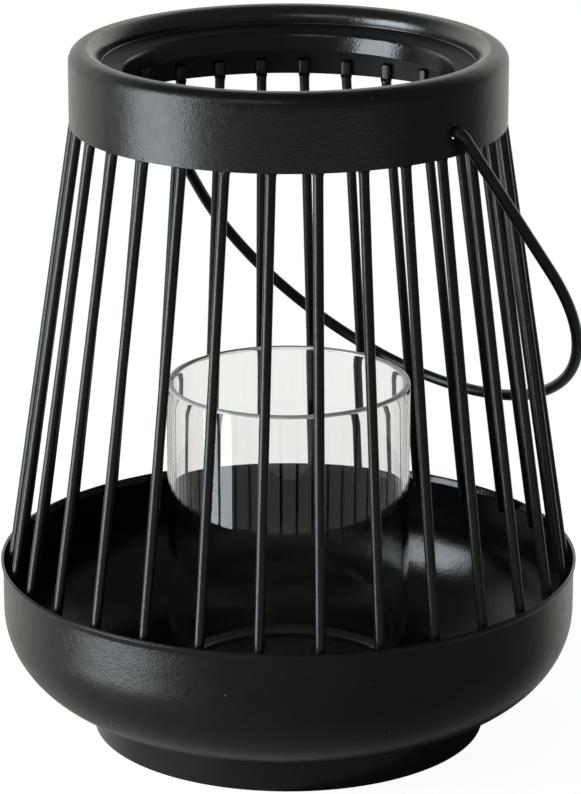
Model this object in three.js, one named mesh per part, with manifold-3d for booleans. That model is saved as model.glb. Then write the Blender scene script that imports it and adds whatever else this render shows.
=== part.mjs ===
// Hurricane candle lantern.
//
// A shallow spun-steel bowl stands on a low foot ring. Straight wire rods lean in
// from the bowl's rim to a spun-steel collar. A wire bail handle swings in two
// holes of the collar's skirt, and a clear glass cup stands loose on the bowl's
// floor and lifts out through the collar.
//
// Millimetres, +Z up. The origin is on the ground at the foot's centre, the front
// is -Y, and azimuths are measured from -Y towards +X.

import * as THREE from 'three';
import { mergeVertices } from 'three/addons/utils/BufferGeometryUtils.js';
import Module from 'manifold-3d';

const wasm = await Module();
wasm.setup();

// ---- driving dimensions ----

const SHEET = 0.9; // wall of the spun-steel pieces
const GAP = 0.3; // between pieces that touch or are welded on the real lantern

const foot = {
  topRadius: 70.3,
  bottomRadius: 68.6,
  flangeRadius: 60, // inner edge of the flange that lies on the ground
  bend: 1.0, // of the corner between the flange and the band
};

const bowl = {
  rimRadius: 100,
  rimHeight: 61.9,
  rimBand: 1.4, // height of the trimmed band that stands out at the very top
  wallRadius: 99.3, // outer radius under that band
  floorHeight: 11.9, // underside of the flat floor
  shoulderHeight: 44.3, // where the curved side ends in the upright wall
  curveWidth: 37.9, // half axes of the ellipse that the side follows
  curveHeight: 32.9,
};

const collar = {
  radius: 74,
  bottom: 215.5,
  top: 241.6,
  beadWidth: 10.7, // of the rolled bead that crowns the skirt
  beadRadius: 4.5, // of the bead's two top corners
  ledgeOuter: 235.7, // height of the ledge where it leaves the bead's inner side
  ledgeInner: 234.5,
  bendRadius: 55.8, // where the ledge turns down into the neck
  bend: 1.6, // length of that bent corner, along each side
  neckRadius: 54,
  neckBottom: 228.4,
};

const rods = {
  count: 30,
  diameter: 3.5,
  firstAzimuth: 7.6, // of its head, degrees
  twist: 1.4, // its foot stands this far back round from its head, degrees
  top: 221,
  headRadius: 71.49, // of the centre line, at the top
  bottom: 57,
  footRadius: 96.3, // of the centre line, at the bottom
};

const glass = {
  radius: 42,
  rimHeight: 124.5,
  wall: 2.3,
  floor: 5,
  outerCorner: 4,
  innerCorner: 3,
};

const bail = {
  diameter: 4,
  azimuth: 47.2, // of the front pivot hole, degrees
  pivotHeight: 224,
  holeDiameter: 5,
  tilt: 37.2, // from hanging straight down, where it leans on the rods, degrees
  endRadius: 66.5, // of the wire's ends, inside the skirt
  bendRadius: 3, // where the wire turns from a leg into its hole
  legOffset: 2.5, // from the skirt's face to the centre line of a leg
  hoopDrop: 73.8, // from the pivots to the centre of the hoop's arc
  hoopRadius: 81.8,
};

const SPUN_SEGMENTS = 60;
const GLASS_SEGMENTS = 48;
const WIRE_SIDES = 10;
const CORNER_STEPS = 2; // per bent corner of an outline; an arc takes twice as many
const BOWL_STEPS = 4;

const radians = THREE.MathUtils.degToRad;

/** Height of the bowl's outer face, on its curved side, at a radius. */
function bowlUnderside(radius) {
  const across = 1 - (bowl.wallRadius - radius) / bowl.curveWidth;
  return bowl.shoulderHeight - bowl.curveHeight * Math.sqrt(1 - across * across);
}

// ---- helpers ----

/** Merges shared corners and drops the flat triangles that a pole leaves. */
function welded(geometry) {
  geometry.deleteAttribute('normal');
  geometry.deleteAttribute('uv');
  const merged = mergeVertices(geometry, 1e-4);
  const corners = Array.from(merged.index.array);
  const kept = [];
  for (let i = 0; i < corners.length; i += 3) {
    const [a, b, c] = corners.slice(i, i + 3);
    if (a !== b && b !== c && c !== a) {
      kept.push(a, b, c);
    }
  }
  merged.setIndex(kept);
  merged.computeVertexNormals();
  return merged;
}

/** Turns a closed outline of (radius, height) points about the Z axis. */
function spun(outline, segments) {
  const geometry = new THREE.LatheGeometry(outline, segments);
  geometry.rotateX(Math.PI / 2);
  return welded(geometry);
}

/** Offsets an open outline to its left, with mitred corners. */
function offsetLeft(points, distance) {
  return points.map((point, i) => {
    const arriving = point.clone().sub(points[Math.max(i - 1, 0)]).normalize();
    const leaving = points[Math.min(i + 1, points.length - 1)].clone().sub(point).normalize();
    const along = arriving.clone().add(leaving).normalize();
    const isEnd = i === 0 || i === points.length - 1;
    const reach = isEnd ? distance : distance / along.dot(leaving);
    return new THREE.Vector2(point.x - along.y * reach, point.y + along.x * reach);
  });
}

/** The closed outline of a sheet: the path is its shown face, the metal lies on the left. */
function sheetOutline(path, steps = CORNER_STEPS) {
  const shown = path.getPoints(steps);
  const hidden = offsetLeft(shown, SHEET).reverse();
  const outline = [...shown, ...hidden];
  const startsOnAxis = shown[0].x === 0;
  return startsOnAxis ? outline : [...outline, shown[0].clone()];
}

function toSolid(geometry) {
  const vertProperties = Float32Array.from(geometry.attributes.position.array);
  const triVerts = Uint32Array.from(geometry.index.array);
  return new wasm.Manifold(new wasm.Mesh({ numProp: 3, vertProperties, triVerts }));
}

function toGeometry(solid) {
  const { vertProperties, triVerts } = solid.getMesh();
  const geometry = new THREE.BufferGeometry();
  geometry.setAttribute('position', new THREE.BufferAttribute(vertProperties, 3));
  geometry.setIndex(new THREE.BufferAttribute(triVerts, 1));
  geometry.computeVertexNormals();
  return geometry;
}

/** A wire's centre line through given stations, with one step of the extrusion between each two. */
class WireRoute extends THREE.Curve {
  constructor(stations) {
    super();
    this.stations = stations;
  }

  getPoint(t, target = new THREE.Vector3()) {
    const place = t * (this.stations.length - 1);
    const index = Math.min(Math.floor(place), this.stations.length - 2);
    return target.lerpVectors(this.stations[index], this.stations[index + 1], place - index);
  }

  getUtoTmapping(u) {
    return u;
  }
}

/** A round wire along the stations. */
function wire(stations, diameter) {
  const section = new THREE.Shape();
  section.absarc(0, 0, diameter / 2, 0, 2 * Math.PI, false);
  const geometry = new THREE.ExtrudeGeometry(section, {
    curveSegments: WIRE_SIDES / 2,
    steps: stations.length - 1,
    extrudePath: new WireRoute(stations),
  });
  return welded(geometry);
}

// ---- materials ----

const blackPowderCoat = new THREE.MeshStandardMaterial({
  color: 0x17181a,
  roughness: 0.42,
  metalness: 0.25,
});

const clearGlass = new THREE.MeshStandardMaterial({
  color: 0xeef4f4,
  roughness: 0.04,
  metalness: 0,
  transparent: true,
  opacity: 0.3,
});

function named(name, geometry, material = blackPowderCoat) {
  const mesh = new THREE.Mesh(geometry, material);
  mesh.name = name;
  return mesh;
}

// ---- foot ring ----

/** A band that leans slightly outwards, with a flange turned in along the ground. */
function makeFootRing() {
  const path = new THREE.Path();
  path.moveTo(foot.flangeRadius, 0);
  path.lineTo(foot.bottomRadius - foot.bend, 0);
  path.quadraticCurveTo(foot.bottomRadius, 0, foot.bottomRadius, foot.bend);
  path.lineTo(foot.topRadius, bowlUnderside(foot.topRadius - SHEET) - GAP);
  return named('foot_ring', spun(sheetOutline(path), SPUN_SEGMENTS));
}

// ---- bowl ----

/** A flat floor, a side that curves up to a short upright wall, and the band at the rim. */
function makeBowl() {
  const bandBottom = bowl.rimHeight - bowl.rimBand;
  const step = bowl.rimRadius - bowl.wallRadius;
  const floorAngle = Math.asin((bowl.floorHeight - bowl.shoulderHeight) / bowl.curveHeight);
  const path = new THREE.Path();
  path.moveTo(0, bowl.floorHeight);
  path.absellipse(bowl.wallRadius - bowl.curveWidth, bowl.shoulderHeight,
    bowl.curveWidth, bowl.curveHeight, floorAngle, 0, false);
  path.lineTo(bowl.wallRadius, bandBottom - step);
  path.lineTo(bowl.rimRadius, bandBottom);
  path.lineTo(bowl.rimRadius, bowl.rimHeight);
  return named('bowl', spun(sheetOutline(path, BOWL_STEPS), SPUN_SEGMENTS));
}

// ---- collar ----

/** The two pivot holes' drill: one bar straight through the skirt's two sides. */
function makePivotDrill() {
  const radius = bail.holeDiameter / 2;
  const length = 2 * collar.radius + 10;
  const drill = new THREE.CylinderGeometry(radius, radius, length, 24);
  drill.rotateZ(radians(bail.azimuth));
  drill.translate(0, 0, bail.pivotHeight);
  return toSolid(welded(drill));
}

/** The skirt, the bead that crowns it, the ledge inside the bead and the neck. */
function makeCollar() {
  const beadBase = collar.top - collar.beadRadius;
  const beadInside = collar.radius - collar.beadWidth;
  const corner = new THREE.Vector2(collar.bendRadius, collar.ledgeInner);
  const ledgeStart = new THREE.Vector2(beadInside, collar.ledgeOuter);
  const neckEnd = new THREE.Vector2(collar.neckRadius, collar.neckBottom);
  const bendStart = ledgeStart.clone().sub(corner).setLength(collar.bend).add(corner);
  const bendEnd = neckEnd.clone().sub(corner).setLength(collar.bend).add(corner);
  const path = new THREE.Path();
  path.moveTo(collar.radius, collar.bottom);
  path.lineTo(collar.radius, beadBase);
  path.absarc(collar.radius - collar.beadRadius, beadBase, collar.beadRadius,
    0, Math.PI / 2, false);
  path.absarc(beadInside + collar.beadRadius, beadBase, collar.beadRadius,
    Math.PI / 2, Math.PI, false);
  path.lineTo(ledgeStart.x, ledgeStart.y);
  path.lineTo(bendStart.x, bendStart.y);
  path.quadraticCurveTo(corner.x, corner.y, bendEnd.x, bendEnd.y);
  path.lineTo(neckEnd.x, neckEnd.y);
  const ring = toSolid(spun(sheetOutline(path), SPUN_SEGMENTS));
  return named('collar', toGeometry(ring.subtract(makePivotDrill())));
}

// ---- cage rods ----

/** A straight rod whose head is at azimuth 0, cut back where it lies against the skirt's inside. */
function makeRodShape() {
  const radius = rods.diameter / 2;
  const foot = new THREE.Vector3(0, -rods.footRadius, rods.bottom);
  foot.applyAxisAngle(new THREE.Vector3(0, 0, 1), -radians(rods.twist));
  const head = new THREE.Vector3(0, -rods.headRadius, rods.top);
  const along = head.clone().sub(foot);
  const bar = new THREE.CylinderGeometry(radius, radius, along.length(), WIRE_SIDES);
  bar.rotateX(Math.PI / 2);
  const turn = new THREE.Quaternion().setFromUnitVectors(new THREE.Vector3(0, 0, 1), along.normalize());
  const middle = foot.clone().add(head).multiplyScalar(0.5);
  bar.applyMatrix4(new THREE.Matrix4().compose(middle, turn, new THREE.Vector3(1, 1, 1)));
  const face = collar.radius - SHEET - GAP;
  const corners = [
    [face, collar.bottom - GAP],
    [collar.radius + rods.diameter, collar.bottom - GAP],
    [collar.radius + rods.diameter, rods.top + GAP],
    [face, rods.top + GAP],
    [face, collar.bottom - GAP],
  ];
  const skirtRoom = spun(corners.map(([x, y]) => new THREE.Vector2(x, y)), SPUN_SEGMENTS);
  skirtRoom.rotateZ(radians(-rods.firstAzimuth));
  return toGeometry(toSolid(welded(bar)).subtract(toSolid(skirtRoom)));
}

// ---- glass cup ----

function makeGlassCup() {
  const base = bowl.floorHeight + SHEET + GAP;
  const floorTop = base + glass.floor;
  const lip = glass.wall / 2;
  const innerRadius = glass.radius - glass.wall;
  const outline = new THREE.Path();
  outline.moveTo(0, base);
  outline.lineTo(glass.radius - glass.outerCorner, base);
  outline.quadraticCurveTo(glass.radius, base, glass.radius, base + glass.outerCorner);
  outline.lineTo(glass.radius, glass.rimHeight - lip);
  outline.absarc(glass.radius - lip, glass.rimHeight - lip, lip, 0, Math.PI, false);
  outline.lineTo(innerRadius, floorTop + glass.innerCorner);
  outline.quadraticCurveTo(innerRadius, floorTop, innerRadius - glass.innerCorner, floorTop);
  outline.lineTo(0, floorTop);
  return named('glass_cup', spun(outline.getPoints(CORNER_STEPS), GLASS_SEGMENTS), clearGlass);
}

// ---- bail handle ----

/**
 * The bail's centre line in its own plane, x along the pivot line and y up: an end, a bend,
 * a leg, the hoop's arc, and the same again back to the other end.
 */
function bailOutline() {
  const bendCentre = new THREE.Vector2(collar.radius + bail.legOffset - bail.bendRadius,
    -bail.bendRadius);
  const hoopCentre = new THREE.Vector2(0, -bail.hoopDrop);
  const between = bendCentre.clone().sub(hoopCentre);
  const touch = between.angle() - Math.acos((bail.hoopRadius - bail.bendRadius) / between.length());
  const path = new THREE.Path();
  path.moveTo(bail.endRadius, 0);
  path.lineTo(bendCentre.x, 0);
  path.absarc(bendCentre.x, bendCentre.y, bail.bendRadius, Math.PI / 2, touch, true);
  path.absarc(hoopCentre.x, hoopCentre.y, bail.hoopRadius, touch, Math.PI - touch, true);
  path.absarc(-bendCentre.x, bendCentre.y, bail.bendRadius, Math.PI - touch, Math.PI / 2, true);
  path.lineTo(-bail.endRadius, 0);
  return path;
}

/** Points along an outline: the ends of each straight, and about one every few degrees of an arc. */
function stationsAlong(path) {
  const hoopSteps = 40;
  const bendSteps = 6;
  const points = path.curves.flatMap((curve) => {
    const steps = curve.xRadius === bail.hoopRadius ? hoopSteps : bendSteps;
    return curve.getPoints(curve.isLineCurve ? 1 : steps);
  });
  const isNew = (point, i) => i === 0 || point.distanceTo(points[i - 1]) > 1e-6;
  return points.filter(isNew).map((point) => new THREE.Vector3(point.x, 0, point.y));
}

function makeBailHandle() {
  const handle = named('bail_handle', wire(stationsAlong(bailOutline()), bail.diameter));
  handle.rotation.x = radians(bail.tilt);
  const pivots = new THREE.Group();
  pivots.rotation.z = radians(bail.azimuth - 90);
  pivots.position.z = bail.pivotHeight;
  pivots.add(handle);
  return pivots;
}

// ---- lantern ----

const lantern = new THREE.Group();
lantern.add(makeFootRing(), makeBowl(), makeCollar());
const rodShape = makeRodShape();
for (let i = 0; i < rods.count; i += 1) {
  const number = String(i + 1).padStart(2, '0');
  const azimuth = rods.firstAzimuth + i * 360 / rods.count;
  const turned = new THREE.Group();
  turned.rotation.z = radians(azimuth);
  turned.add(named(`rod_${number}`, rodShape.clone()));
  lantern.add(turned);
}
lantern.add(makeGlassCup(), makeBailHandle());

export default lantern;
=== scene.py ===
# Hurricane candle lantern: the finished look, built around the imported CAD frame.
#
# Every spun-steel piece, rod, wire and the glass is remade here as a fine mesh in
# the place of its CAD node. Profiles are given in millimetres as (radius, height)
# corners; meshes are made in metres. The front is -Y, and azimuths are measured
# from -Y towards +X.

import math

import bpy
import numpy as np
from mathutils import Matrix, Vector


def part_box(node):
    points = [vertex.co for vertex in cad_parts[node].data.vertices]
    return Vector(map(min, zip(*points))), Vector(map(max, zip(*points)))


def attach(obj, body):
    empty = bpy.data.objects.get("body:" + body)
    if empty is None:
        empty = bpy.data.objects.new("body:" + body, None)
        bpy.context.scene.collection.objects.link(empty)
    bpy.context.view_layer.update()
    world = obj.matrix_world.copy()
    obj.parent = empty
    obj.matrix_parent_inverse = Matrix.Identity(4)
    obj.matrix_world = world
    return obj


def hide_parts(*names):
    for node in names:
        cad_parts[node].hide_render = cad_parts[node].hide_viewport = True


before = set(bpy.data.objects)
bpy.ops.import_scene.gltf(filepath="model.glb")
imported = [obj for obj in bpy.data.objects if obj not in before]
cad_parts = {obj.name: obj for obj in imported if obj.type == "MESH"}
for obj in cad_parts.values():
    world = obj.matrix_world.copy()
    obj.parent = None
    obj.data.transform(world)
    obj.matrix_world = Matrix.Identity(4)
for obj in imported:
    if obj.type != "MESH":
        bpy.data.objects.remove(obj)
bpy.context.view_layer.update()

MM = 0.001

# ---- driving dimensions, in millimetres and degrees, the frame's own where it has them ----


def node_size(node):
    """Outer radius, lowest and highest point of a round CAD node, in millimetres."""
    low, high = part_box(node)
    return high.x / MM, low.z / MM, high.z / MM


COLLAR_RADIUS, COLLAR_BOTTOM, COLLAR_TOP = node_size("collar")
RIM_RADIUS, FLOOR_UNDERSIDE, RIM_HEIGHT = node_size("bowl")
GLASS_RADIUS, GLASS_BASE, GLASS_RIM = node_size("glass_cup")
FOOT_TOP_RADIUS = node_size("foot_ring")[0]

SHEET = 0.9  # thickness of the spun steel
EDGE_BULGE = 0.35  # how far a sheet's cut edge swells past the end of its outline
RIM_EDGE_BULGE = 0.3

WALL_RADIUS = RIM_RADIUS - 0.7  # the bowl's wall, below the band at the rim
SHOULDER_HEIGHT = 44.3  # where the curved side turns into the upright wall
BOWL_CURVE_WIDTH = 37.9
BOWL_CURVE_HEIGHT = 32.9
BAND_START = 2.6  # the wall turns out towards the band this far below the rim
BAND_END = 1.1  # and stands upright again from here
BAND_FILLET = 1.6

BEAD_INSIDE = COLLAR_RADIUS - 10.7  # the bead's inner wall
BEAD_RADIUS = 4.5
BEAD_INNER_RADIUS = 5.2
LEDGE_OUTER = 235.7  # height of the ledge where it leaves the bead
LEDGE_INNER = 234.5  # and where it bends down into the neck
LEDGE_FILLET = 0.6
NECK_BEND_RADIUS = 55.8
NECK_FILLET = 2.6
NECK_RADIUS = 54.0
NECK_BOTTOM = 228.4
SKIRT_EDGE_LIFT = 0.3  # the skirt's outline ends this far above the CAD collar's bottom

FOOT_BOTTOM_RADIUS = 68.2
FOOT_FLANGE_RADIUS = 60.0
FOOT_FILLET = 0.6
FOOT_BURIAL = 0.2  # the foot's top edge goes this far into the bowl's sheet

ROD_COUNT = 30
ROD_RADIUS = 1.75
ROD_FIRST_AZIMUTH = 7.6  # of its head
ROD_TWIST = 1.4  # the foot stands this far back round from the head
ROD_TOP = 221.0
ROD_HEAD_RADIUS = 71.49
ROD_BOTTOM = 57.0
ROD_FOOT_RADIUS = 96.3
FOOT_RINGS = (0, 0.12, 0.45, 1.0, 1.5)  # a rod's mesh rings, up from its foot
MIDDLE_RINGS = (5, 10, 14)  # from this far above the foot to this far below the head, and how many
HEAD_RINGS = (6.4, 6.0, 5.7, 5.4, 5.1, 4.8, 4.4, 3.0, 1.4, 0.6, 0.2, 0)  # down from its head
FOOT_SOFTENING = (1.0, 0.75)  # the cut end: its length, and the share of the wire left at its tip
HEAD_SOFTENING = (0.6, 0.94)

TAB_START = 215.0  # a rod's head is pressed flat from here up
TAB_RUN = 1.2  # and fully flat after this much
TAB_WIDTH = 3.7
TAB_THICKNESS = 1.7
TAB_BITE = 0.15  # into the skirt
TAB_SQUARENESS = 1.2  # added to the round wire's 2.0
WELD_SIZE = 0.25  # how far the weld bead under the skirt's edge stands out
WELD_REACH = 0.7  # up and down from the edge

GLASS_WALL = 2.3
GLASS_FLOOR = 5.0
GLASS_HEEL_RADIUS = 3.5
GLASS_INNER_FILLET = 3.0

BAIL_RADIUS = 1.99
BAIL_AZIMUTH = 47.2  # of the pivot line's near end
PIVOT_HEIGHT = 224.0
PIVOT_HOLE_RADIUS = 2.5
PIVOT_HOLE_SIDES = 48
BAIL_TILT = 37.2  # out from straight down, at rest
BAIL_END_RADIUS = 66.5  # how far from the axis the wire ends
BAIL_BEND_RADIUS = 3.0
BAIL_LEG_OFFSET = 2.5  # from the skirt to the wire's middle, where it has turned down
BAIL_CUT_END = ((0.0, 0.62), (0.17, 0.85), (0.37, 0.96))  # distance from the tip, share of the wire
HOOP_DROP = 73.8  # from the pivot line to the hoop's centre
HOOP_RADIUS = 81.8

SEGMENTS = 240  # round a spun steel piece
GLASS_SEGMENTS = 180
ROUND = 2.0  # a section's squareness when it is an ellipse
SHARPEST_SMOOTH = 50  # degrees; a drilled hole's edge is sharper, and so stays crisp

# ---- outlines in the (radius, height) plane ----


def arc(centre, radii, start, end, steps):
    """Points on an ellipse's arc, angles in degrees."""
    angles = np.radians(np.linspace(start, end, steps + 1))
    return [
        np.array([centre[0] + radii[0] * math.cos(a), centre[1] + radii[1] * math.sin(a)])
        for a in angles
    ]


def rounded(corners, steps=8):
    """An open outline through (x, y, fillet radius) corners, each fillet an arc."""
    points = [np.array(corners[0][:2], float)]
    for before, corner, after in zip(corners, corners[1:], corners[2:]):
        here = np.array(corner[:2], float)
        back = np.array(before[:2], float) - here
        ahead = np.array(after[:2], float) - here
        back /= np.linalg.norm(back)
        ahead /= np.linalg.norm(ahead)
        half_angle = math.acos(np.clip(back @ ahead, -1, 1)) / 2
        radius = corner[2]
        if radius == 0:
            points.append(here)
            continue
        reach = radius / math.tan(half_angle)
        bisector = (back + ahead) / np.linalg.norm(back + ahead)
        middle = here + bisector * radius / math.sin(half_angle)
        spoke_in = here + back * reach - middle
        spoke_out = here + ahead * reach - middle
        turn = math.pi - 2 * half_angle
        for share in np.linspace(0, 1, steps + 1):
            weight_in = math.sin((1 - share) * turn) / math.sin(turn)
            weight_out = math.sin(share * turn) / math.sin(turn)
            points.append(middle + spoke_in * weight_in + spoke_out * weight_out)
    points.append(np.array(corners[-1][:2], float))
    return points


def refined(points, longest, doubled=1e-5):
    """The same outline with no step longer than the given length and no doubled point."""
    fine = [points[0]]
    for a, b in zip(points, points[1:]):
        count = max(1, math.ceil(np.linalg.norm(b - a) / longest))
        fine += [a + (b - a) * k / count for k in range(1, count + 1)]
    kept = [fine[0]]
    for point in fine[1:]:
        if np.linalg.norm(point - kept[-1]) > doubled:
            kept.append(point)
    return kept


def offset_left(points, distance):
    """The outline moved to its left, with mitred corners."""
    moved = []
    for i, point in enumerate(points):
        arriving = point - points[max(i - 1, 0)]
        leaving = points[min(i + 1, len(points) - 1)] - point
        if i == 0:
            arriving = leaving
        if i == len(points) - 1:
            leaving = arriving
        arriving = arriving / np.linalg.norm(arriving)
        leaving = leaving / np.linalg.norm(leaving)
        along = (arriving + leaving) / np.linalg.norm(arriving + leaving)
        reach = distance / (along @ leaving)
        moved.append(point + np.array([-along[1], along[0]]) * reach)
    return moved


def cut_edge(first, last, depth, steps=8):
    """The softened cut edge of a sheet, between one face's end and the other's."""
    middle = (first + last) / 2
    across = (first - last) / 2
    outward = np.array([-across[1], across[0]]) / np.linalg.norm(across) * -depth
    points = []
    for angle in np.linspace(0, math.pi, steps + 1)[1:-1]:
        side = math.copysign(abs(math.cos(angle)) ** 0.5, math.cos(angle))
        points.append(middle + across * side + outward * math.sin(angle) ** 0.5)
    return points


def sheet_outline(shown, longest=2.0, edge=EDGE_BULGE):
    """The closed outline of a sheet whose shown face is given, with its metal on the left."""
    shown = refined(shown, longest)
    hidden = offset_left(shown, SHEET)
    far_end = cut_edge(shown[-1], hidden[-1], edge)
    if shown[0][0] == 0:
        return shown + far_end + hidden[::-1]
    near_end = cut_edge(hidden[0], shown[0], edge)
    return shown + far_end + hidden[::-1] + near_end


# ---- meshes ----


def mesh_object(name, points, faces):
    """A smooth-shaded object from points in millimetres."""
    mesh = bpy.data.meshes.new(name)
    mesh.from_pydata([tuple(float(x) * MM for x in p) for p in points], [], faces)
    mesh.polygons.foreach_set("use_smooth", [True] * len(mesh.polygons))
    mesh.update()
    piece = bpy.data.objects.new(name, mesh)
    bpy.context.scene.collection.objects.link(piece)
    return piece


def skin(name, rings, wrap=False, caps=False):
    """Quads between rings of equally many points; wrap joins the last ring to the first,
    and caps close the two ends with a fan about the end ring's middle."""
    rings = np.asarray(rings, float)
    count, around = rings.shape[:2]
    points = list(rings.reshape(-1, 3))
    faces = []
    for i in range(count if wrap else count - 1):
        below = i * around
        above = (i + 1) % count * around
        for k in range(around):
            after = (k + 1) % around
            faces.append((below + k, below + after, above + after, above + k))
    if caps:
        for ring, flip in ((0, True), (count - 1, False)):
            centre = len(points)
            points.append(rings[ring].mean(axis=0))
            for k in range(around):
                a, b = ring * around + k, ring * around + (k + 1) % around
                faces.append((b, a, centre) if flip else (a, b, centre))
    return mesh_object(name, points, faces)


def lathe(name, outline, segments=SEGMENTS):
    """Turns a closed outline about Z; one that starts and ends on the axis gets two poles."""
    on_axis = outline[0][0] == 0
    turned = outline[1:-1] if on_axis else outline
    angles = np.arange(segments) * 2 * math.pi / segments
    rings = [
        np.stack([r * np.sin(angles), -r * np.cos(angles), np.full(segments, z)], axis=1)
        for r, z in turned
    ]
    return skin(name, rings, wrap=not on_axis, caps=on_axis)


def radial(azimuth):
    """Unit vector from the axis outwards."""
    angle = math.radians(azimuth)
    return np.array([math.sin(angle), -math.cos(angle), 0.0])


def tangential(azimuth):
    """Unit vector round the axis, towards greater azimuths."""
    angle = math.radians(azimuth)
    return np.array([math.cos(angle), math.sin(angle), 0.0])


UP = np.array([0.0, 0.0, 1.0])


def section(centre, side, out, half_side, half_out, sides=24, squareness=ROUND):
    """One ring of a bar, a superellipse; rings that follow side x out make outward faces."""
    ring = []
    for angle in np.arange(sides) * 2 * math.pi / sides:
        c, s = math.cos(angle), math.sin(angle)
        x = math.copysign(abs(c) ** (2 / squareness), c)
        y = math.copysign(abs(s) ** (2 / squareness), s)
        ring.append(centre + side * half_side * x + out * half_out * y)
    return ring


# ---- materials ----


def add(nodes, kind, inputs=None, **settings):
    """A shader node with its settings and unlinked input values."""
    node = nodes.new(kind)
    for key, value in settings.items():
        setattr(node, key, value)
    for key, value in (inputs or {}).items():
        node.inputs[key].default_value = value
    return node


def new_material(name):
    """A material with a principled shader; also gives its object coordinates."""
    material = bpy.data.materials.new(name)
    material.use_nodes = True
    nodes, links = material.node_tree.nodes, material.node_tree.links
    nodes.clear()
    output = add(nodes, "ShaderNodeOutputMaterial")
    shader = add(nodes, "ShaderNodeBsdfPrincipled")
    links.new(shader.outputs["BSDF"], output.inputs["Surface"])
    place = add(nodes, "ShaderNodeTexCoord")
    return material, nodes, links, shader, place.outputs["Object"]


def noise(nodes, links, place, **inputs):
    """The factor of a noise texture at a place."""
    values = {key.capitalize(): value for key, value in inputs.items()}
    texture = add(nodes, "ShaderNodeTexNoise", values)
    links.new(place, texture.inputs["Vector"])
    return texture.outputs["Fac"]


def mapped(nodes, links, value, start, end, low, high, **settings):
    """The value brought from the range start to end onto low to high."""
    limits = {"From Min": start, "From Max": end, "To Min": low, "To Max": high}
    node = add(nodes, "ShaderNodeMapRange", limits, **settings)
    links.new(value, node.inputs["Value"])
    return node.outputs["Result"]


def tinted(nodes, links, value, first, last, start=0.0, end=1.0):
    """A colour that goes from first to last as the value goes from start to end."""
    ramp = add(nodes, "ShaderNodeValToRGB")
    low, high = ramp.color_ramp.elements
    low.position, high.position = start, end
    low.color = (*first, 1)
    high.color = (*last, 1)
    links.new(value, ramp.inputs["Fac"])
    return ramp.outputs["Color"]


def bumped(nodes, links, height, strength, distance, over=None):
    """A normal bumped by the height, over another bump's normal where one is given."""
    bump = add(nodes, "ShaderNodeBump", {"Strength": strength, "Distance": distance})
    links.new(height, bump.inputs["Height"])
    if over is not None:
        links.new(over, bump.inputs["Normal"])
    return bump.outputs["Normal"]


COAT_DARKEST = (0.0016, 0.0022, 0.0012)
COAT_LIGHTEST = (0.0034, 0.0042, 0.0028)
DUST_COLOUR = (0.09, 0.09, 0.085, 1)
DUST_SHARE = 0.5  # how much of a nib is dust rather than coat
NIB_CELLS = 150.0
NIB_CORE = 0.02  # sizes in shares of a cell
NIB_EDGE = 0.075
NIB_RARITY = 0.88  # the share of cells that hold no nib
PLAIN_SPECULAR = 0.5


def dust_nibs(nodes, links, place):
    """1 at the middle of a few small specks, 0 elsewhere."""
    cells = add(nodes, "ShaderNodeTexVoronoi", {"Scale": NIB_CELLS, "Randomness": 1.0})
    links.new(place, cells.inputs["Vector"])
    size = mapped(nodes, links, cells.outputs["Distance"], NIB_CORE, NIB_EDGE, low=1.0, high=0.0)
    random = add(nodes, "ShaderNodeSeparateColor")
    links.new(cells.outputs["Color"], random.inputs["Color"])
    picked = add(nodes, "ShaderNodeMath", {1: NIB_RARITY}, operation="GREATER_THAN")
    links.new(random.outputs["Red"], picked.inputs[0])
    nib = add(nodes, "ShaderNodeMath", operation="MULTIPLY")
    links.new(size, nib.inputs[0])
    links.new(picked.outputs[0], nib.inputs[1])
    return nib.outputs[0]


def powder_coat(name, roughest, smoothest, specular=PLAIN_SPECULAR):
    """Black powder coat: fine orange peel, uneven gloss and a few dust nibs."""
    material, nodes, links, shader, place = new_material(name)
    nib = dust_nibs(nodes, links, place)

    cloud = noise(nodes, links, place, scale=38.0, detail=3.0, roughness=0.6)
    coat = tinted(nodes, links, cloud, COAT_DARKEST, COAT_LIGHTEST, start=0.3, end=0.75)
    dust = add(nodes, "ShaderNodeMath", {1: DUST_SHARE}, operation="MULTIPLY")
    links.new(nib, dust.inputs[0])
    dusted = add(nodes, "ShaderNodeMix", data_type="RGBA")
    dusted.inputs["B"].default_value = DUST_COLOUR
    links.new(dust.outputs[0], dusted.inputs["Factor"])
    links.new(coat, dusted.inputs["A"])
    links.new(dusted.outputs["Result"], shader.inputs["Base Color"])

    gloss = noise(nodes, links, place, scale=210.0, detail=4.0, roughness=0.65)
    roughness = mapped(nodes, links, gloss, start=0.25, end=0.75, low=smoothest, high=roughest)
    links.new(roughness, shader.inputs["Roughness"])

    flow = noise(nodes, links, place, scale=260.0, detail=1.0, roughness=0.5)
    peel = noise(nodes, links, place, scale=1150.0, detail=2.0, roughness=0.5)
    normal = bumped(nodes, links, flow, strength=0.3, distance=0.0002)
    normal = bumped(nodes, links, peel, strength=0.46, distance=0.00015, over=normal)
    normal = bumped(nodes, links, nib, strength=0.8, distance=0.0002, over=normal)
    links.new(normal, shader.inputs["Normal"])

    shader.inputs["Specular IOR Level"].default_value = specular
    return material


GLASS_INDEX = 1.5
GLASS_DEEPEST = (0.985, 0.992, 0.986)
GLASS_PALEST = (0.994, 0.998, 0.994)
HAZIEST = 0.03
DRAW_STRETCH = (1.0, 1.0, 0.25)  # the waves run up the wall


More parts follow.
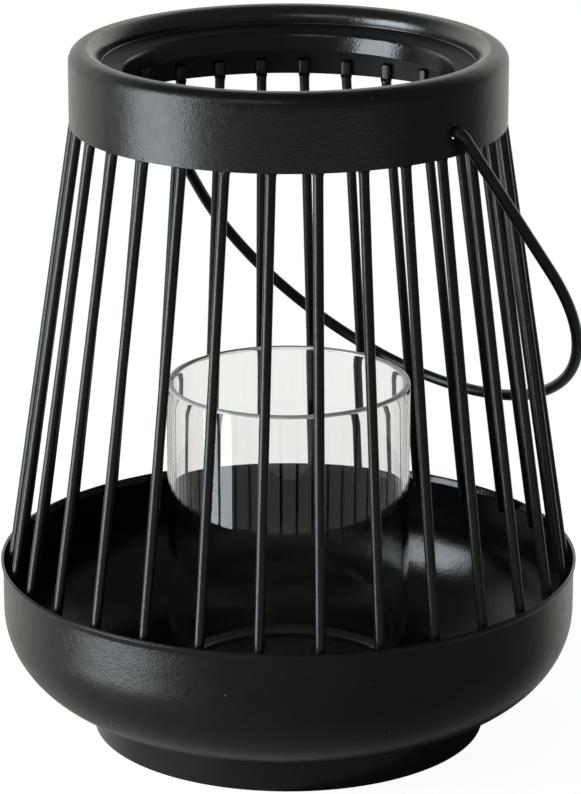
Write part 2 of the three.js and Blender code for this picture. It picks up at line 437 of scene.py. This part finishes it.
def clear_glass(name, transmission):
    """Clear soda-lime glass: faint draw waves in the wall and a breath of haze."""
    material, nodes, links, shader, place = new_material(name)
    shader.inputs["Transmission Weight"].default_value = transmission
    shader.inputs["IOR"].default_value = GLASS_INDEX

    cloud = noise(nodes, links, place, scale=25.0, detail=2.0)
    tint = tinted(nodes, links, cloud, GLASS_DEEPEST, GLASS_PALEST)
    links.new(tint, shader.inputs["Base Color"])

    haze = noise(nodes, links, place, scale=60.0, detail=5.0, roughness=0.7)
    roughness = mapped(nodes, links, haze, start=0.4, end=0.8, low=0.0, high=HAZIEST)
    links.new(roughness, shader.inputs["Roughness"])

    stretch = add(nodes, "ShaderNodeMapping")
    stretch.inputs["Scale"].default_value = DRAW_STRETCH
    links.new(place, stretch.inputs["Vector"])
    waves = noise(nodes, links, stretch.outputs["Vector"], scale=70.0, detail=1.0)
    normal = bumped(nodes, links, waves, strength=0.25, distance=0.00025)
    links.new(normal, shader.inputs["Normal"])
    return material


SLOT = "black_powder_coat"
SATIN_COAT = powder_coat(SLOT, roughest=0.36, smoothest=0.27)
# The inner coats are glossier, and their raised reflectance is a painted highlight, strongest on
# the bead's inner rounding.
GLOSSY_COAT_PAINTED_HIGHLIGHT = powder_coat(SLOT + "_glossy", roughest=0.23, smoothest=0.14, specular=0.65)
BEAD_COAT_PAINTED_HIGHLIGHT = powder_coat(SLOT + "_bead", roughest=0.29, smoothest=0.20, specular=1.0)
# A duller, less reflective copy of the coat for the skirt's inner face: painted shade in that
# recess.
SHADE_DIMMED_COAT = powder_coat(SLOT + "_painted_shade", roughest=0.62, smoothest=0.5, specular=0.3)
CLEAR_GLASS = clear_glass("clear_glass", transmission=1.0)
# The lip lets only part of the light through and scatters the rest white: a painted highlight along
# the rim.
LIP_PAINTED_HIGHLIGHT = clear_glass("clear_glass_lip", transmission=0.62)


def finish_piece(piece, body, node, material=SATIN_COAT):
    """Gives a piece its material and slot, sets it on its body and hides what it replaces."""
    piece.data.materials.append(material)
    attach(piece, body)
    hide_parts(node)


def recoat(piece, coat, picked):
    """Gives another coat to the faces that the test picks by their middle, in millimetres,
    and their normal."""
    piece.data.materials.append(coat)
    index = len(piece.data.materials) - 1
    for face in piece.data.polygons:
        if picked(face.center / MM, face.normal):
            face.material_index = index


# ---- foot ring ----


def bowl_underside(radius):
    """Height of the bowl's outer face, on its curved side."""
    across = 1 - (WALL_RADIUS - radius) / BOWL_CURVE_WIDTH
    return SHOULDER_HEIGHT - BOWL_CURVE_HEIGHT * math.sqrt(1 - across * across)


def make_foot_ring():
    """A leaning band with a flange turned in along the floor."""
    top = bowl_underside(FOOT_TOP_RADIUS) + FOOT_BURIAL
    path = rounded([
        (FOOT_FLANGE_RADIUS, 0, 0),
        (FOOT_BOTTOM_RADIUS, 0, FOOT_FILLET),
        (FOOT_TOP_RADIUS, top, 0),
    ])
    return lathe("foot_ring_spun", sheet_outline(path))


# ---- bowl ----


def make_bowl():
    """A flat floor, an elliptic side, an upright wall and a slightly wider band at the rim."""
    floor_angle = math.degrees(math.asin((FLOOR_UNDERSIDE - SHOULDER_HEIGHT) / BOWL_CURVE_HEIGHT))
    side = arc(
        (WALL_RADIUS - BOWL_CURVE_WIDTH, SHOULDER_HEIGHT),
        (BOWL_CURVE_WIDTH, BOWL_CURVE_HEIGHT),
        floor_angle, 0, steps=48,
    )
    rim = rounded([
        (WALL_RADIUS, SHOULDER_HEIGHT + 1, 0),
        (WALL_RADIUS, RIM_HEIGHT - BAND_START, BAND_FILLET),
        (RIM_RADIUS, RIM_HEIGHT - BAND_END, BAND_FILLET),
        (RIM_RADIUS, RIM_HEIGHT - RIM_EDGE_BULGE, 0),
    ], steps=4)
    floor = [np.array([0.0, FLOOR_UNDERSIDE])]
    return lathe("bowl_spun", sheet_outline(floor + side + rim, edge=RIM_EDGE_BULGE))


def inside_bowl(place, facing, above=80):
    """True for the inner face, which looks towards the axis at a point that far above it."""
    looks_in = facing.dot(Vector((place.x, place.y, -above))) < 0
    return place.z < RIM_HEIGHT - 0.1 and looks_in


# ---- collar ----


def drill(piece):
    """Cuts the two pivot holes through the skirt with one bar along the pivot line."""
    axis, side = radial(BAIL_AZIMUTH), tangential(BAIL_AZIMUTH)
    centre = UP * PIVOT_HEIGHT
    radius, reach = PIVOT_HOLE_RADIUS, COLLAR_RADIUS + 5
    rings = [
        section(centre + axis * along, side, UP, radius, radius, PIVOT_HOLE_SIDES)
        for along in (-reach, reach)
    ]
    bar = skin("pivot_drill", rings, caps=True)
    cut = piece.modifiers.new("pivot_holes", "BOOLEAN")
    cut.object = bar
    cut.operation = "DIFFERENCE"
    cut.solver = "EXACT"
    bpy.context.view_layer.update()
    evaluated = piece.evaluated_get(bpy.context.evaluated_depsgraph_get())
    mesh = bpy.data.meshes.new_from_object(evaluated)
    piece.modifiers.clear()
    piece.data = mesh
    bpy.data.objects.remove(bar)
    mesh.set_sharp_from_angle(angle=math.radians(SHARPEST_SMOOTH))


def make_collar():
    """From the skirt's edge up, over the bead, along the ledge and down the neck."""
    path = rounded([
        (COLLAR_RADIUS, COLLAR_BOTTOM + SKIRT_EDGE_LIFT, 0),
        (COLLAR_RADIUS, COLLAR_TOP, BEAD_RADIUS),
        (BEAD_INSIDE, COLLAR_TOP, BEAD_INNER_RADIUS),
        (BEAD_INSIDE, LEDGE_OUTER, LEDGE_FILLET),
        (NECK_BEND_RADIUS, LEDGE_INNER, NECK_FILLET),
        (NECK_RADIUS, NECK_BOTTOM, 0),
    ], steps=12)
    piece = lathe("collar_spun", sheet_outline(path))
    drill(piece)
    return piece


def in_mouth(place, facing):
    """True for the neck, the ledge and the bead's inner wall."""
    return place.z > NECK_BOTTOM - 1 and math.hypot(place.x, place.y) < BEAD_INSIDE + 0.2


def on_inner_bead(place, facing):
    """True for the bead's inner rounding."""
    radius = math.hypot(place.x, place.y)
    crown = COLLAR_RADIUS - BEAD_RADIUS - 2
    return place.z > LEDGE_OUTER + 0.3 and BEAD_INSIDE - 0.1 < radius < crown


def behind_skirt(place, facing):
    """True for the skirt's inner face."""
    outside_neck = math.hypot(place.x, place.y) > NECK_RADIUS + 2
    looks_in = facing.dot(Vector((place.x, place.y, 0))) < 0
    return place.z < LEDGE_OUTER and outside_neck and looks_in


# ---- cage rods ----


def softened(to_end, softening):
    """The share of the wire left near a cut end."""
    length, least = softening
    if to_end > length:
        return 1.0
    return least + (1 - least) * math.sqrt(1 - (1 - to_end / length) ** 2)


def make_rod(name, azimuth):
    """A straight wire, its head pressed flat along the skirt's inside, its foot at the wall."""
    out, side = radial(azimuth), -tangential(azimuth)  # side x out points up the rod
    foot = radial(azimuth - ROD_TWIST) * ROD_FOOT_RADIUS + UP * ROD_BOTTOM
    head = out * ROD_HEAD_RADIUS + UP * ROD_TOP
    along = (head - foot) / np.linalg.norm(head - foot)
    across = np.cross(np.cross(along, out), along)
    above_foot, below_head, count = MIDDLE_RINGS
    heights = np.concatenate([
        ROD_BOTTOM + np.array(FOOT_RINGS),
        np.linspace(ROD_BOTTOM + above_foot, ROD_TOP - below_head, count),
        ROD_TOP - np.array(HEAD_RINGS),
    ])
    tab_face = COLLAR_RADIUS - SHEET + TAB_BITE
    rings = []
    for height in heights:
        centre = foot + (head - foot) * (height - ROD_BOTTOM) / (ROD_TOP - ROD_BOTTOM)
        flat = float(np.clip((height - TAB_START) / TAB_RUN, 0, 1))
        flat = flat * flat * (3 - 2 * flat)  # 0 where the wire is round, 1 where it is pressed
        pressed = out * (tab_face - TAB_THICKNESS / 2) + UP * height
        share = softened(height - ROD_BOTTOM, FOOT_SOFTENING)
        share *= softened(ROD_TOP - height, HEAD_SOFTENING)
        weld = WELD_SIZE * math.exp(-(((height - COLLAR_BOTTOM) / WELD_REACH) ** 2))
        rings.append(section(
            centre + (pressed - centre) * flat,
            side,
            across + (out - across) * flat,
            (ROD_RADIUS + (TAB_WIDTH / 2 - ROD_RADIUS) * flat) * share + weld,
            (ROD_RADIUS + (TAB_THICKNESS / 2 - ROD_RADIUS) * flat) * share + weld / 2,
            squareness=ROUND + TAB_SQUARENESS * flat,
        ))
    return skin(name, rings, caps=True)


# ---- bail handle ----


def bail_route():
    """Centre line of the bail in its plane: (along the pivot line, down from it)."""
    bend = (COLLAR_RADIUS + BAIL_LEG_OFFSET - BAIL_BEND_RADIUS, BAIL_BEND_RADIUS)
    across, down = bend[0], HOOP_DROP - bend[1]
    distance = math.hypot(across, down)
    touch = math.degrees(
        math.atan2(down, across) - math.acos((HOOP_RADIUS - BAIL_BEND_RADIUS) / distance)
    )
    half = [np.array([BAIL_END_RADIUS, 0.0])]
    leg_bend = arc((bend[0], -bend[1]), (BAIL_BEND_RADIUS, BAIL_BEND_RADIUS), 90, touch, steps=12)
    hoop = arc((0, -HOOP_DROP), (HOOP_RADIUS, HOOP_RADIUS), touch, -90, steps=60)
    half += [np.array([x, -y]) for x, y in leg_bend + hoop]
    other = [np.array([-x, y]) for x, y in half[:-1]]
    return refined(half + other[::-1], longest=3.0)


def make_bail_handle():
    """The bent wire, hanging close outside the rods, both cut ends a little rounded."""
    axis, out = radial(BAIL_AZIMUTH), tangential(BAIL_AZIMUTH)
    tilt = math.radians(BAIL_TILT)
    down = out * math.sin(tilt) - UP * math.cos(tilt)
    normal = np.cross(axis, down)
    centres = [UP * PIVOT_HEIGHT + axis * u + down * h for u, h in bail_route()]

    def ring(centre, along, share=1.0):
        radius = BAIL_RADIUS * share
        return section(centre, np.cross(normal, along), normal, radius, radius)

    def direction(before, after):
        return (after - before) / np.linalg.norm(after - before)

    first = direction(centres[0], centres[1])
    last = direction(centres[-2], centres[-1])
    rings = [ring(centres[0] + first * reach, first, share) for reach, share in BAIL_CUT_END]
    for before, centre, after in zip(centres, centres[1:], centres[2:]):
        rings.append(ring(centre, direction(before, after)))
    rings += [ring(centres[-1] - last * reach, last, share) for reach, share in BAIL_CUT_END[::-1]]
    return skin("bail_handle_wire", rings, caps=True)


# ---- glass cup ----


def make_glass_cup():
    """A straight cup with a thick floor, a rounded heel and a round fire-polished lip."""
    floor_top = GLASS_BASE + GLASS_FLOOR
    inner = GLASS_RADIUS - GLASS_WALL
    lip = GLASS_WALL / 2
    outline = rounded([
        (0, GLASS_BASE, 0),
        (GLASS_RADIUS, GLASS_BASE, GLASS_HEEL_RADIUS),
        (GLASS_RADIUS, GLASS_RIM - lip, 0),
    ], steps=12)
    outline += arc((GLASS_RADIUS - lip, GLASS_RIM - lip), (lip, lip), 0, 180, steps=16)[1:]
    outline += rounded([
        (inner, GLASS_RIM - lip - 1, 0),
        (inner, floor_top, GLASS_INNER_FILLET),
        (0, floor_top, 0),
    ], steps=12)
    return lathe("glass_cup_clear", refined(outline, longest=4.0), GLASS_SEGMENTS)


def on_lip(place, facing):
    """True for the rounded lip."""
    return place.z > GLASS_RIM - GLASS_WALL / 2


# ---- the lantern ----

finish_piece(make_foot_ring(), "root", "foot_ring")
bowl = make_bowl()
finish_piece(bowl, "root", "bowl")
# The bowl's inside takes the glossier coat; its raised reflectance is partly a painted highlight.
recoat(bowl, GLOSSY_COAT_PAINTED_HIGHLIGHT, inside_bowl)
collar = make_collar()
finish_piece(collar, "root", "collar")
# The mouth and the bead's inner rounding take the glossier coats; their raised reflectance paints
# brighter highlights.
recoat(collar, GLOSSY_COAT_PAINTED_HIGHLIGHT, in_mouth)
recoat(collar, BEAD_COAT_PAINTED_HIGHLIGHT, on_inner_bead)
# The skirt's inner face takes the dimmed coat, painted shade under the bead.
recoat(collar, SHADE_DIMMED_COAT, behind_skirt)
for index in range(ROD_COUNT):
    node = f"rod_{index + 1:02d}"
    azimuth = ROD_FIRST_AZIMUTH + index * 360 / ROD_COUNT
    finish_piece(make_rod(node + "_wire", azimuth), "root", node)
finish_piece(make_bail_handle(), "handle", "bail_handle")
cup = make_glass_cup()
finish_piece(cup, "glass", "glass_cup", CLEAR_GLASS)
# The lip takes the half-milky glass, a painted highlight on the rim.
recoat(cup, LIP_PAINTED_HIGHLIGHT, on_lip)


# ---- floor, lights, backdrop and camera ----

FLOOR_REACH = 4000
FLOOR_TONES = ((0.20, 0.20, 0.20), (0.24, 0.24, 0.24))
FLOOR_GLOW = 0.95
SHADE_CENTRE = (13, 12)
SHADE_RADIUS = 82
SHADE_HEIGHT = 0.4
SHADE_SIDES = 64


def floor_material(name):
    """A fully matt material; gives its nodes, links and shader to be filled in."""
    material = bpy.data.materials.new(name)
    material.use_nodes = True
    nodes, links = material.node_tree.nodes, material.node_tree.links
    shader = nodes["Principled BSDF"]
    shader.inputs["Specular IOR Level"].default_value = 0.0
    return material, nodes, links, shader


def make_floor():
    """A plain pale floor, left out of mirror reflections and of what the glass lets through."""
    reach = FLOOR_REACH
    points = [(-reach, -reach, 0), (reach, -reach, 0), (reach, reach, 0), (-reach, reach, 0)]
    floor = mesh_object("floor", points, [(0, 1, 2, 3)])
    material, nodes, links, shader = floor_material("pale_floor")
    place = add(nodes, "ShaderNodeTexCoord").outputs["Generated"]
    mottle = noise(nodes, links, place, scale=6.0, detail=2.0)
    links.new(tinted(nodes, links, mottle, *FLOOR_TONES), shader.inputs["Base Color"])
    shader.inputs["Roughness"].default_value = 0.9
    shader.inputs["Emission Color"].default_value = (1, 1, 1, 1)
    shader.inputs["Emission Strength"].default_value = FLOOR_GLOW
    floor.data.materials.append(material)
    floor.visible_glossy = False
    floor.visible_shadow = False
    floor.visible_transmission = False


def make_floor_shade():
    """The lantern's own shadow on the floor, as the coat's mirror reflections see it."""
    x, y = SHADE_CENTRE
    angles = np.arange(SHADE_SIDES) * 2 * math.pi / SHADE_SIDES
    points = [
        (x + SHADE_RADIUS * math.cos(a), y + SHADE_RADIUS * math.sin(a), SHADE_HEIGHT)
        for a in angles
    ]
    shade = mesh_object("floor_shade", points, [tuple(range(SHADE_SIDES))])
    material, nodes, links, shader = floor_material("floor_in_shadow")
    shader.inputs["Base Color"].default_value = (0.02, 0.02, 0.02, 1)
    shade.data.materials.append(material)
    shade.visible_camera = False
    shade.visible_diffuse = False
    shade.visible_transmission = False
    shade.visible_shadow = False


def soft_light(name, place, target, size, radiance, colour):
    """A rectangular soft light of a given radiance, aimed at a target."""
    light = bpy.data.lights.new(name, "AREA")
    light.shape = "RECTANGLE"
    light.size, light.size_y = size
    light.energy = radiance * 4 * size[0] * size[1]
    light.color = colour
    lamp = bpy.data.objects.new(name, light)
    bpy.context.scene.collection.objects.link(lamp)
    lamp.location = place
    lamp.rotation_euler = (Vector(target) - Vector(place)).to_track_quat("-Z", "Y").to_euler()
    lamp.visible_camera = False
    lamp.visible_transmission = False
    return lamp


def make_lights():
    """A tall card close on the left, a weak one above the front and a dim one along the floor."""
    soft_light(
        "key_left", place=(-1.027, -0.405, 0.30), target=(0, 0, 0.30),
        size=(0.66, 1.3), radiance=5.5, colour=(0.92, 1.0, 1.06),
    )
    soft_light(
        "fill_top", place=(-0.47, -1.17, 1.25), target=(0, 0, 0.2),
        size=(0.8, 0.3), radiance=1.3, colour=(1, 1, 1),
    )
    soft_light(
        "floor_card", place=(0, -0.59, 0.002), target=(0, -0.59, 1.0),
        size=(1.2, 0.5), radiance=0.38, colour=(1, 1, 1),
    )


BACKDROP_AXIS = (-0.16, 0.987, 0.0)
BACKDROP_RADIANCE = 0.85
LEFT_FLOOR_RADIANCE = 0.20
ROOM_RADIANCE = 0.11
ROOM_COLOUR = (1.0, 1.0, 0.93, 1)
STRAIGHT_VIEW = ((1, 0.992, 0.972, 1), 0.93)  # what refracted rays see: colour and strength
TURNED_VIEW = ((1, 0.99, 0.96, 1), 0.55)  # and after an inner reflection
CAMERA_VIEW = ((1, 1, 1, 1), 1.0)


def make_world():
    """A white backdrop behind and a dim room elsewhere, for reflections and light; the
    camera, and the rays that the glass lets through, see plain near-white instead."""
    world = bpy.data.worlds.new("studio")
    bpy.context.scene.world = world
    world.use_nodes = True
    nodes, links = world.node_tree.nodes, world.node_tree.links
    nodes.clear()

    direction = add(nodes, "ShaderNodeTexCoord").outputs["Generated"]
    parts = add(nodes, "ShaderNodeSeparateXYZ")
    links.new(direction, parts.inputs["Vector"])

    def ramp(value, start, end, low, high):
        """A smooth step from low at start to high at end."""
        return mapped(nodes, links, value, start, end, low, high, interpolation_type="SMOOTHSTEP")

    def combine(operation, first, second):
        """A maths node on a socket and a second socket or number."""
        node = add(nodes, "ShaderNodeMath", operation=operation)
        links.new(first, node.inputs[0])
        if isinstance(second, float):
            node.inputs[1].default_value = second
        else:
            links.new(second, node.inputs[1])
        return node.outputs[0]

    facing = add(nodes, "ShaderNodeVectorMath", {1: BACKDROP_AXIS}, operation="DOT_PRODUCT")
    links.new(direction, facing.inputs[0])
    height = parts.outputs["Z"]
    behind = ramp(facing.outputs["Value"], start=0.30, end=0.66, low=0.0, high=BACKDROP_RADIANCE)
    above_floor = ramp(height, start=-0.62, end=-0.18, low=0.15, high=1.0)
    below_ceiling = ramp(height, start=0.40, end=0.75, low=1.0, high=0.0)
    backdrop = combine("MULTIPLY", combine("MULTIPLY", behind, above_floor), below_ceiling)
    to_left = ramp(parts.outputs["X"], start=0.5, end=-0.8, low=0.0, high=LEFT_FLOOR_RADIANCE)
    below_level = ramp(height, start=-0.25, end=-0.55, low=0.0, high=1.0)
    left_floor = combine("MULTIPLY", to_left, below_level)
    radiance = combine("ADD", combine("ADD", backdrop, left_floor), ROOM_RADIANCE)

    room = add(nodes, "ShaderNodeBackground", {"Color": ROOM_COLOUR})
    links.new(radiance, room.inputs["Strength"])

    def override(base, condition, view):
        """The base shader, but a plain colour and strength where the condition holds."""
        colour, strength = view
        plain = add(nodes, "ShaderNodeBackground", {"Color": colour, "Strength": strength})
        mix = add(nodes, "ShaderNodeMixShader")
        links.new(condition, mix.inputs["Fac"])
        links.new(base, mix.inputs[1])
        links.new(plain.outputs["Background"], mix.inputs[2])
        return mix.outputs["Shader"]

    path = add(nodes, "ShaderNodeLightPath")
    refracted = path.outputs["Is Transmission Ray"]
    reflections = combine("ADD", path.outputs["Glossy Depth"], path.outputs["Diffuse Depth"])
    unreflected = combine("LESS_THAN", reflections, 0.5)
    reflected = combine("GREATER_THAN", reflections, 0.5)
    one_wall = combine("LESS_THAN", path.outputs["Transmission Depth"], 2.5)
    straight = combine("MULTIPLY", refracted, unreflected)
    turned = combine("MULTIPLY", refracted, combine("MULTIPLY", one_wall, reflected))
    shader = override(room.outputs["Background"], turned, TURNED_VIEW)
    shader = override(shader, straight, STRAIGHT_VIEW)
    shader = override(shader, path.outputs["Is Camera Ray"], CAMERA_VIEW)
    output = add(nodes, "ShaderNodeOutputWorld")
    links.new(shader, output.inputs["Surface"])


CAMERA_PLACE = (0, -1.2926, 0.5225)
CAMERA_DIP = 17.37  # degrees below level
CAMERA_LENS = 178.2
CAMERA_SHIFT = 0.0026


def make_camera():
    """A long lens a little above the lantern."""
    camera = bpy.data.cameras.new("camera")
    camera.lens = CAMERA_LENS
    camera.sensor_width = 36
    camera.sensor_fit = "AUTO"
    camera.shift_x = CAMERA_SHIFT
    camera.clip_start, camera.clip_end = 0.05, 50
    viewer = bpy.data.objects.new("camera", camera)
    bpy.context.scene.collection.objects.link(viewer)
    viewer.location = CAMERA_PLACE
    viewer.rotation_euler = (math.radians(90 - CAMERA_DIP), 0, 0)
    bpy.context.scene.camera = viewer


make_floor()
make_floor_shade()
make_lights()
make_world()
make_camera()
bpy.context.scene.view_settings.view_transform = "Standard"
